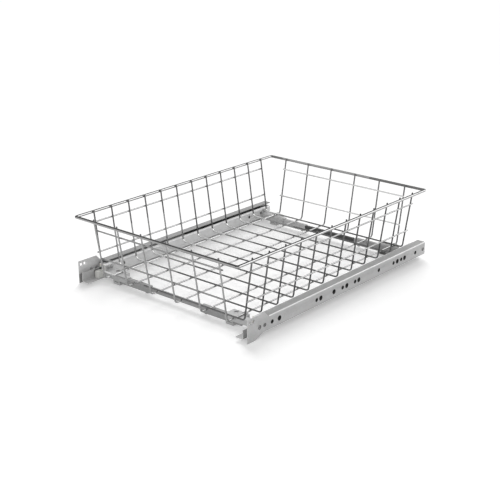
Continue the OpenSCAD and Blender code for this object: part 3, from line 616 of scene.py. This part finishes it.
# ---------------------------------------------------------------- running tracks
# The track that carries the rollers is the same strip, folded once to an L, with a lug at its
# front that stops the roller cage. It hangs from the cabinet rail on rivets and welded spacers.
# Its back, which faces the cabinet rail across a narrow gap, is painted black as shade, except at the rear
# end.
TRACK_BACK = 184.5 * MM
TRACK_SHADE_END = 205 * MM
finishes = [zinc_rail, painted_black, zinc_edge_highlight]
for side, sign in (("left", -1), ("right", 1)):
    bm = take_copy("running_track_" + side)
    ease_edges(bm, SHEET_EDGE)
    split_at(bm, (0, TRACK_SHADE_END, 0), (0, 1, 0))
    # Painted shade: the back of the track is painted black but for its rear end.
    for face in bm.faces:
        middle = face.calc_center_median()
        if face.normal.x * sign > 0.99 and middle.x * sign > TRACK_BACK and middle.y < TRACK_SHADE_END:
            face.material_index = finishes.index(painted_black)
    mark_edge_highlights(bm, finishes)
    track = put_in_scene(bm, "running_track_folded_" + side, "cabinet_side", "zinc", *finishes)
    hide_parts("running_track_" + side)

# ---------------------------------------------------------------- rivets and spacers
# Cold-headed steel rivets, barrel-plated with zinc, so they are brighter and smoother than the
# sheet. The head inside the track is domed, and the end in the cabinet rail is set flush with a
# small ring mark from the riveting tool.
zinc_rivet, tree = new_material("barrel_plated_rivet_steel")
place = add_node(tree, "ShaderNodeTexCoord")
knocks = add_node(tree, "ShaderNodeTexNoise", values={"Scale": 1 / (1.2 * MM), "Detail": 3.0},
                  links={"Vector": (place, "Object")})
shade = add_node(tree, "ShaderNodeMix", settings={"data_type": "RGBA"},
                 values={"A": linear("8c8c8c"), "B": linear("b0b0b0")}, links={"Factor": (knocks, "Fac")})
gloss = add_node(tree, "ShaderNodeMapRange",
                 values={"From Min": 0.3, "From Max": 0.7, "To Min": 0.22, "To Max": 0.40},
                 links={"Value": (knocks, "Fac")})
dents = add_node(tree, "ShaderNodeBump", values={"Strength": 0.2, "Distance": 0.0003},
                 links={"Height": (knocks, "Fac")})
metal = add_node(tree, "ShaderNodeBsdfPrincipled", values={"Metallic": 1.0},
                 links={"Base Color": (shade, "Result"), "Roughness": (gloss, "Result"),
                        "Normal": (dents, "Normal")})
add_node(tree, "ShaderNodeOutputMaterial", links={"Surface": (metal, 0)})

RAIL_FACE = 193.6 * MM
RAIL_FRONT = -250 * MM
SCREW_LINE = 18.7 * MM


def draw_outline(bm, end, along, outline):
    """Each pair of the outline is the distance along the axis and the radius there."""
    for (here, radius), (there, next_radius) in zip(outline, outline[1:]):
        end = draw_on(bm, end, along * (there - here), next_radius / radius)
    return end


def turned_part(bm, at, along, outline, sides=24):
    along = Vector(along).normalized()
    start = wire_end(bm, Vector(at) + along * outline[0][0], along, 2 * outline[0][1], sides)
    end = draw_outline(bm, start, along, outline)
    bmesh.ops.edgeloop_fill(bm, edges=start)
    bmesh.ops.edgeloop_fill(bm, edges=end)


def in_mm(*pairs):
    return [(first * MM, second * MM) for first, second in pairs]


rivet_ys = [RAIL_FRONT + step * MM for step in (7, 459.2, 471.4)]
spacer_ys = [RAIL_FRONT + step * MM for step in (125, 190, 300, 375)]
shank = in_mm((1.7, 0.5), (1.6, 1.5), (0.15, 1.75), (0.0, 1.95), (0.0, 2.2), (0.15, 2.35), (1.2, 2.35),
              (1.2, 3.3), (1.4, 3.5), (8.8, 3.5), (9.0, 3.3), (9.0, 2.35), (10.2, 2.35), (10.2, 2.95),
              (10.5, 2.8), (10.75, 2.0), (10.8, 1.0))
spacer = in_mm((1.2, 3.1), (1.4, 3.5), (3.0, 3.5), (3.3, 3.3), (6.9, 3.3), (7.2, 3.5), (8.8, 3.5), (9.0, 3.1))
for side, sign in (("left", -1), ("right", 1)):
    bm = bmesh.new()
    for y in rivet_ys:
        turned_part(bm, (sign * RAIL_FACE, y, SCREW_LINE), (-sign, 0, 0), shank)
    for y in spacer_ys:
        turned_part(bm, (sign * RAIL_FACE, y, SCREW_LINE), (-sign, 0, 0), spacer)
    rivets = put_in_scene(bm, "track_rivets_" + side, "cabinet_side", "zinc_dark", zinc_rivet)
    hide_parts("spacer_rivets_" + side)

# ---------------------------------------------------------------- end buffers
# A block of soft natural polyurethane stops the middle rail at the rear. It is injection-moulded
# and slightly milky, with rounded edges, three grooves on top and a dull, faintly dusty skin.
BUFFER_BANDS = 7
GROOVE_EDGE = 0.15 * MM
GROOVE_DEPTH = 0.9 * MM
soft_plastic, tree = new_material("moulded_soft_polyurethane")
place = add_node(tree, "ShaderNodeTexCoord")
skin = add_node(tree, "ShaderNodeTexNoise", values={"Scale": 1 / (0.8 * MM), "Detail": 3.0},
                links={"Vector": (place, "Object")})
dust = add_node(tree, "ShaderNodeTexNoise", values={"Scale": 1 / (6 * MM), "Detail": 2.0},
                links={"Vector": (place, "Object")})
shade = add_node(tree, "ShaderNodeMix", settings={"data_type": "RGBA"},
                 values={"A": linear("dcdcd8"), "B": linear("eaeae6")}, links={"Factor": (dust, "Fac")})
pores = add_node(tree, "ShaderNodeBump", values={"Strength": 0.2, "Distance": 0.0002},
                 links={"Height": (skin, "Fac")})
body = add_node(tree, "ShaderNodeBsdfPrincipled", values={"Roughness": 0.55, "IOR": 1.5},
                links={"Base Color": (shade, "Result"), "Normal": (pores, "Normal")})
add_node(tree, "ShaderNodeOutputMaterial", links={"Surface": (body, 0)})
for side in ("left", "right"):
    bm = take_copy("end_buffer_" + side)
    low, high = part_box("end_buffer_" + side)
    band = (high[1] - low[1]) / BUFFER_BANDS
    for k in range(1, BUFFER_BANDS):
        split_at(bm, (0, low[1] + k * band, 0), (0, 1, 0))
    grooves = [face for face in bm.faces if face.normal.z > 0.9
               and int((face.calc_center_median().y - low[1]) / band) % 2]
    bmesh.ops.inset_individual(bm, faces=grooves, thickness=GROOVE_EDGE, depth=-GROOVE_DEPTH)
    ease_edges(bm, 0.25 * MM)
    buffer_block = put_in_scene(bm, "end_buffer_ribbed_" + side, "cabinet_side", "plastic_white",
                                soft_plastic)
    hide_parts("end_buffer_" + side)

# ---------------------------------------------------------------- soft-close housings
# A long square tube of grey glass-filled polyamide lies under the cabinet rail's flange. It is
# moulded with shallow panels between ribs on its underside and has a faintly mottled matt skin.
HOUSING_PANELS = 12
RIB_HALF = 1.0 * MM
PANEL_DEPTH = 0.3 * MM
PANEL_AREA = 50 * MM * MM
nylon_grey, tree = new_material("glass_filled_polyamide_grey")
place = add_node(tree, "ShaderNodeTexCoord")
fibres = add_node(tree, "ShaderNodeTexNoise", values={"Scale": 1 / (0.5 * MM), "Detail": 4.0},
                  links={"Vector": (place, "Object")})
flow = add_node(tree, "ShaderNodeTexNoise", values={"Scale": 1 / (12 * MM), "Detail": 2.0},
                links={"Vector": (place, "Object")})
shade = add_node(tree, "ShaderNodeMix", settings={"data_type": "RGBA"},
                 values={"A": linear("6c6e70"), "B": linear("7a7c7e")}, links={"Factor": (flow, "Fac")})
gloss = add_node(tree, "ShaderNodeMapRange", values={"To Min": 0.45, "To Max": 0.65},
                 links={"Value": (fibres, "Fac")})
grain = add_node(tree, "ShaderNodeBump", values={"Strength": 0.15, "Distance": 0.0002},
                 links={"Height": (fibres, "Fac")})
body = add_node(tree, "ShaderNodeBsdfPrincipled", values={"IOR": 1.53},
                links={"Base Color": (shade, "Result"), "Roughness": (gloss, "Result"),
                       "Normal": (grain, "Normal")})
add_node(tree, "ShaderNodeOutputMaterial", links={"Surface": (body, 0)})
for side in ("left", "right"):
    bm = take_copy("softclose_housing_" + side)
    low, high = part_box("softclose_housing_" + side)
    for k in range(1, HOUSING_PANELS):
        split_at(bm, (0, low[1] + (high[1] - low[1]) * k / HOUSING_PANELS, 0), (0, 1, 0))
    panels = [face for face in bm.faces if face.normal.z < -0.9 and face.calc_area() > PANEL_AREA
              and face.calc_center_median().z < low[2] + 0.1 * MM]
    bmesh.ops.inset_individual(bm, faces=panels, thickness=RIB_HALF, depth=-PANEL_DEPTH)
    ease_edges(bm, 0.12 * MM)
    housing = put_in_scene(bm, "softclose_housing_moulded_" + side, "cabinet_side", "plastic_grey",
                           nylon_grey)
    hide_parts("softclose_housing_" + side)

# ---------------------------------------------------------------- dampers
# The damper's cylinder is drawn steel tube with a rolled bead near each end that holds its plugs.
# The rod is ground and hard-chromed, so it is the smoothest metal of the unit.
drawn_steel, tree = new_material("drawn_tube_steel")
place = add_node(tree, "ShaderNodeTexCoord")
stretch = add_node(tree, "ShaderNodeMapping",
                   values={"Scale": (1 / (0.4 * MM), 1 / (25 * MM), 1 / (0.4 * MM))},
                   links={"Vector": (place, "Object")})
drawn = add_node(tree, "ShaderNodeTexNoise", values={"Scale": 1.0, "Detail": 2.0},
                 links={"Vector": (stretch, "Vector")})
shade = add_node(tree, "ShaderNodeMix", settings={"data_type": "RGBA"},
                 values={"A": linear("7c7c7c"), "B": linear("909090")}, links={"Factor": (drawn, "Fac")})
gloss = add_node(tree, "ShaderNodeMapRange", values={"To Min": 0.18, "To Max": 0.34},
                 links={"Value": (drawn, "Fac")})
lines = add_node(tree, "ShaderNodeBump", values={"Strength": 0.1, "Distance": 0.0001},
                 links={"Height": (drawn, "Fac")})
metal = add_node(tree, "ShaderNodeBsdfPrincipled", values={"Metallic": 1.0},
                 links={"Base Color": (shade, "Result"), "Roughness": (gloss, "Result"),
                        "Normal": (lines, "Normal")})
add_node(tree, "ShaderNodeOutputMaterial", links={"Surface": (metal, 0)})
ROD_R = 0.95 * MM
# Distance from the end, and depth below the widest radius
tube_end = in_mm((0, 0.5), (0.5, 0), (3.4, 0), (3.9, 0.35), (4.4, 0))
piston = in_mm((3.6, 0.2), (3.4, 0), (2.2, 0), (2.0, 0.3), (1.6, 0.3), (1.4, 0), (0.2, 0), (0, 0.2))
for side in ("left", "right"):
    low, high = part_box("damper_cylinder_" + side)
    centre = (Vector(low) + Vector(high)) / 2
    radius = (high[2] - low[2]) / 2
    long = high[1] - low[1]
    bm = bmesh.new()
    turned_part(bm, (centre.x, low[1], centre.z), (0, 1, 0),
                [(0, 1.1 * MM)] + [(inset, radius - depth) for inset, depth in tube_end]
                + [(long - inset, radius - depth) for inset, depth in reversed(tube_end)]
                + [(long, 0.6 * MM), (long - 0.3 * MM, 0.4 * MM)])
    cylinder = put_in_scene(bm, "damper_cylinder_rolled_" + side, "cabinet_side", "zinc_dark", drawn_steel)
    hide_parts("damper_cylinder_" + side)
    low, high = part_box("damper_rod_" + side)
    long = high[1] - low[1]
    head = (high[2] - low[2]) / 2
    bm = bmesh.new()
    turned_part(bm, (centre.x, low[1], centre.z), (0, 1, 0),
                [(0, 0.6 * MM), (0.3 * MM, ROD_R), (long - piston[0][0], ROD_R)]
                + [(long - inset, head - depth) for inset, depth in piston], sides=16)
    rod = put_in_scene(bm, "damper_rod_ground_" + side, "slider_" + side, "zinc_dark", chrome["thick"])
    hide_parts("damper_rod_" + side)

# ---------------------------------------------------------------- soft-close springs
# A compression spring of 0.6 mm oil-tempered wire, with its end turns closed and its body open.
SPRING_WIRE = 0.6 * MM
CLOSED_TURNS = 2
OPEN_TURNS = 12
TURN_STEPS = 16
CLOSED_RUN = CLOSED_TURNS * 0.66 * MM
for side in ("left", "right"):
    low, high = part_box("softclose_spring_" + side)
    centre = (Vector(low) + Vector(high)) / 2
    coil = (high[2] - low[2] - SPRING_WIRE) / 2
    open_run = high[1] - low[1] - SPRING_WIRE - 2 * CLOSED_RUN
    bm = bmesh.new()
    first_at = (centre.x + coil, low[1] + SPRING_WIRE / 2, centre.z)
    end = start = wire_end(bm, first_at, (0, 0, 1), SPRING_WIRE, sides=6)
    for turns, run in ((CLOSED_TURNS, CLOSED_RUN), (OPEN_TURNS, open_run), (CLOSED_TURNS, CLOSED_RUN)):
        steps = turns * TURN_STEPS
        end = bend_on(bm, end, centre, (0, -1, 0), turns * math.tau, steps, (0, run / steps, 0))
    bmesh.ops.edgeloop_fill(bm, edges=start)
    bmesh.ops.edgeloop_fill(bm, edges=end)
    spring = put_in_scene(bm, "softclose_spring_wound_" + side, "cabinet_side", "zinc_dark", drawn_steel)
    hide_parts("softclose_spring_" + side)
    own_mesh(spring)

# ---------------------------------------------------------------- sliders, roller cages and caps
# Sliders, cages and rail caps are injection-moulded in natural white polyamide. It is waxy and
# slightly creamy, with soft moulded edges and a fine spark-eroded texture.
nylon_white, tree = new_material("moulded_polyamide_natural")
place = add_node(tree, "ShaderNodeTexCoord")
texture = add_node(tree, "ShaderNodeTexNoise", values={"Scale": 1 / (0.6 * MM), "Detail": 3.0},
                   links={"Vector": (place, "Object")})
flow = add_node(tree, "ShaderNodeTexNoise", values={"Scale": 1 / (15 * MM), "Detail": 2.0},
                links={"Vector": (place, "Object")})
shade = add_node(tree, "ShaderNodeMix", settings={"data_type": "RGBA"},
                 values={"A": linear("dcdbd6"), "B": linear("e8e7e2")}, links={"Factor": (flow, "Fac")})
gloss = add_node(tree, "ShaderNodeMapRange", values={"To Min": 0.38, "To Max": 0.55},
                 links={"Value": (texture, "Fac")})
erosion = add_node(tree, "ShaderNodeBump", values={"Strength": 0.12, "Distance": 0.0002},
                   links={"Height": (texture, "Fac")})
body = add_node(tree, "ShaderNodeBsdfPrincipled",
                values={"IOR": 1.53, "Subsurface Weight": 0.1, "Subsurface Scale": 0.001},
                links={"Base Color": (shade, "Result"), "Roughness": (gloss, "Result"),
                       "Normal": (erosion, "Normal")})
add_node(tree, "ShaderNodeOutputMaterial", links={"Surface": (body, 0)})
moulded = [("softclose_slider", "slider_", 0.25), ("lower_cage", "lower_rollers_", 0.2),
           ("upper_cage", "upper_rollers_", 0.2), ("rail_end_cap", "basket", 0.4)]
for side in ("left", "right"):
    for node, rides, edge in moulded:
        bm = take_copy(f"{node}_{side}")
        ease_edges(bm, edge * MM)
        piece = put_in_scene(bm, f"{node}_moulded_{side}", rides + side if rides.endswith("_") else rides,
                             "plastic_white", nylon_white)
        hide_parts(f"{node}_{side}")

# ---------------------------------------------------------------- rollers
# Through-hardened steel rollers, tumbled and ground. Each has a small chamfer at both ends and
# polished sides.
roller_steel, tree = new_material("ground_roller_steel")
place = add_node(tree, "ShaderNodeTexCoord")
ground = add_node(tree, "ShaderNodeTexNoise", values={"Scale": 1 / (0.5 * MM), "Detail": 2.0},
                  links={"Vector": (place, "Object")})
shade = add_node(tree, "ShaderNodeMix", settings={"data_type": "RGBA"},
                 values={"A": linear("8a8a8a"), "B": linear("9c9c9c")}, links={"Factor": (ground, "Fac")})
gloss = add_node(tree, "ShaderNodeMapRange", values={"To Min": 0.12, "To Max": 0.24},
                 links={"Value": (ground, "Fac")})
metal = add_node(tree, "ShaderNodeBsdfPrincipled", values={"Metallic": 1.0},
                 links={"Base Color": (shade, "Result"), "Roughness": (gloss, "Result")})
add_node(tree, "ShaderNodeOutputMaterial", links={"Surface": (metal, 0)})
for side in ("left", "right"):
    for group in ("lower_rollers", "upper_rollers"):
        bm = take_copy(f"{group}_{side}")
        ease_edges(bm, 0.3 * MM)
        piece = put_in_scene(bm, f"{group}_ground_{side}", f"{group}_{side}", "zinc_dark", roller_steel)
        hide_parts(f"{group}_{side}")

# ---------------------------------------------------------------- middle and drawer rails
# The middle rail is an I-section of plated strip that runs between the two rows of rollers. The
# drawer rail is an inverted U over it, with a small catch plate for the soft close. Where its top
# runs under the cabinet rail's flange it is painted black as shade in the front half and a
# darker grey behind.
SHADED_FROM = 175 * MM
DRAWER_TOP = 27 * MM
for side in ("left", "right"):
    for node, rides, slot, finish in (("middle_rail", "middle_" + side, "zinc", zinc_rail),
                                      ("drawer_rail", "basket", "zinc", zinc_light),
                                      ("catch_tab", "basket", "zinc_dark", zinc_rail)):
        bm = take_copy(f"{node}_{side}")
        if node == "drawer_rail":
            split_at(bm, (-SHADED_FROM if side == "left" else SHADED_FROM, 0, 0), (1, 0, 0))
            split_at(bm, (0, 0, 0), (0, 1, 0))
        ease_edges(bm, 0.2 * MM)
        finishes = [finish, painted_black, zinc_painted_shade]
        # Painted shade where the top runs under the flange: black in the front half, darker grey behind.
        for face in bm.faces:
            middle = face.calc_center_median()
            if face.normal.z > 0.5 and middle.z > DRAWER_TOP and abs(middle.x) > SHADED_FROM:
                face.material_index = finishes.index(painted_black if middle.y < 0 else zinc_painted_shade)
        piece = put_in_scene(bm, f"{node}_rolled_{side}", rides, slot, *finishes)
        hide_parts(f"{node}_{side}")

# ---------------------------------------------------------------- crossbar brackets
# Four brackets, pressed from sheet and plated like the rails, with the grain across. Each grips
# the end of a sleeve, is riveted to the drawer rail and has a plate with a clip hole and tongues.
# The left front one is painted a darker grey as shade, and its foot darker still, painted shade.
zinc_press = plated_sheet("zinc_plated_pressed_sheet", "X", ("b8b8b8", "cccccc"), (0.50, 0.68))
zinc_painted_deep_shade = plated_sheet("zinc_plated_sheet_painted_deep_shade", "Y", ("565656", "686868"), (0.40, 0.60))
for end in ("front", "rear"):
    for side in ("left", "right"):
        bm = take_copy(f"bracket_{end}_{side}")
        ease_edges(bm, SHEET_EDGE)
        # The left front bracket is painted a darker grey as shade.
        piece = put_in_scene(bm, f"bracket_pressed_{end}_{side}", "basket", "zinc",
                             zinc_painted_shade if (end, side) == ("front", "left") else zinc_press)
        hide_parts(f"bracket_{end}_{side}")
bm = take_copy("bracket_feet")
ease_edges(bm, 0.3 * MM)
finishes = [zinc_press, zinc_painted_deep_shade]
# Painted shade: the left front foot is painted dark.
for face in bm.faces:
    middle = face.calc_center_median()
    left_front = middle.x < 0 and middle.y < 0
    face.material_index = finishes.index(zinc_painted_deep_shade if left_front else zinc_press)
feet = put_in_scene(bm, "bracket_feet_pressed", "basket", "zinc", *finishes)
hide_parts("bracket_feet")

# ---------------------------------------------------------------- telescopic crossbars
# The sleeves are folded square tube and the middle bars are channel, both zinc plated. All but
# the right front sleeve are coloured duller and darker than the pressed sheet, and the front
# bar much darker still.
BAR_EDGE = 0.35 * MM
zinc_bar = plated_sheet("zinc_plated_bar_dull", "X", ("9a9a9a", "acacac"), (0.50, 0.68))
bar_dark = plated_sheet("zinc_plated_bar_dark", "X", ("3e3e3e", "505050"), (0.40, 0.60))
for end, finish in (("front", bar_dark), ("rear", zinc_bar)):
    for side in ("left", "right"):
        bm = take_copy(f"sleeve_{end}_{side}")
        ease_edges(bm, BAR_EDGE, 3)
        piece = put_in_scene(bm, f"sleeve_folded_{end}_{side}", "basket", "zinc_dark",
                             zinc_press if (end, side) == ("front", "right") else zinc_bar)
        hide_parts(f"sleeve_{end}_{side}")
    bm = take_copy("crossbar_" + end)
    ease_edges(bm, BAR_EDGE, 3)
    piece = put_in_scene(bm, "crossbar_channel_" + end, "basket", "zinc_dark", finish)
    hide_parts("crossbar_" + end)

# ---------------------------------------------------------------- bracket rivets and lock screws
# Pan-head rivets join the brackets to the drawer rails. Under each sleeve a set screw with a
# low round head and a hexagon socket locks the middle bar once the width is set.
bm = take_copy("bracket_rivets")
ease_edges(bm, 0.45 * MM, 3)
piece = put_in_scene(bm, "bracket_rivets_headed", "basket", "zinc_dark", zinc_rivet)
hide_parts("bracket_rivets")
HEAD_R = 3.4 * MM
SOCKET_W = 2.9 * MM
SOCKET_DEPTH = 1.5 * MM
screw = in_mm((0, 2.8), (0.5, 3.2), (1.0, 3.4), (2.1, 3.4), (2.4, 3.1), (2.4, 1.7), (11.3, 1.7), (11.7, 1.3))
lock_low, lock_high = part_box("lock_screws")
lock_x = lock_high[0] - HEAD_R
bm = bmesh.new()
for sx in (-1, 1):
    for y in (lock_low[1] + HEAD_R, lock_high[1] - HEAD_R):
        under = Vector((sx * lock_x, y, lock_low[2]))
        outer = wire_end(bm, under, (0, 0, 1), 2 * screw[0][1], sides=24)
        end = draw_outline(bm, outer, Vector((0, 0, 1)), screw)
        bmesh.ops.edgeloop_fill(bm, edges=end)
        socket = wire_end(bm, under, (0, 0, 1), SOCKET_W, sides=6)
        bmesh.ops.bridge_loops(bm, edges=outer + socket)
        floor_ring = draw_on(bm, socket, (0, 0, SOCKET_DEPTH), 0.97)
        bmesh.ops.edgeloop_fill(bm, edges=floor_ring)
piece = put_in_scene(bm, "lock_screws_socket_head", "basket", "zinc_dark", zinc_rivet)
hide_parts("lock_screws")

bpy.context.view_layer.update()
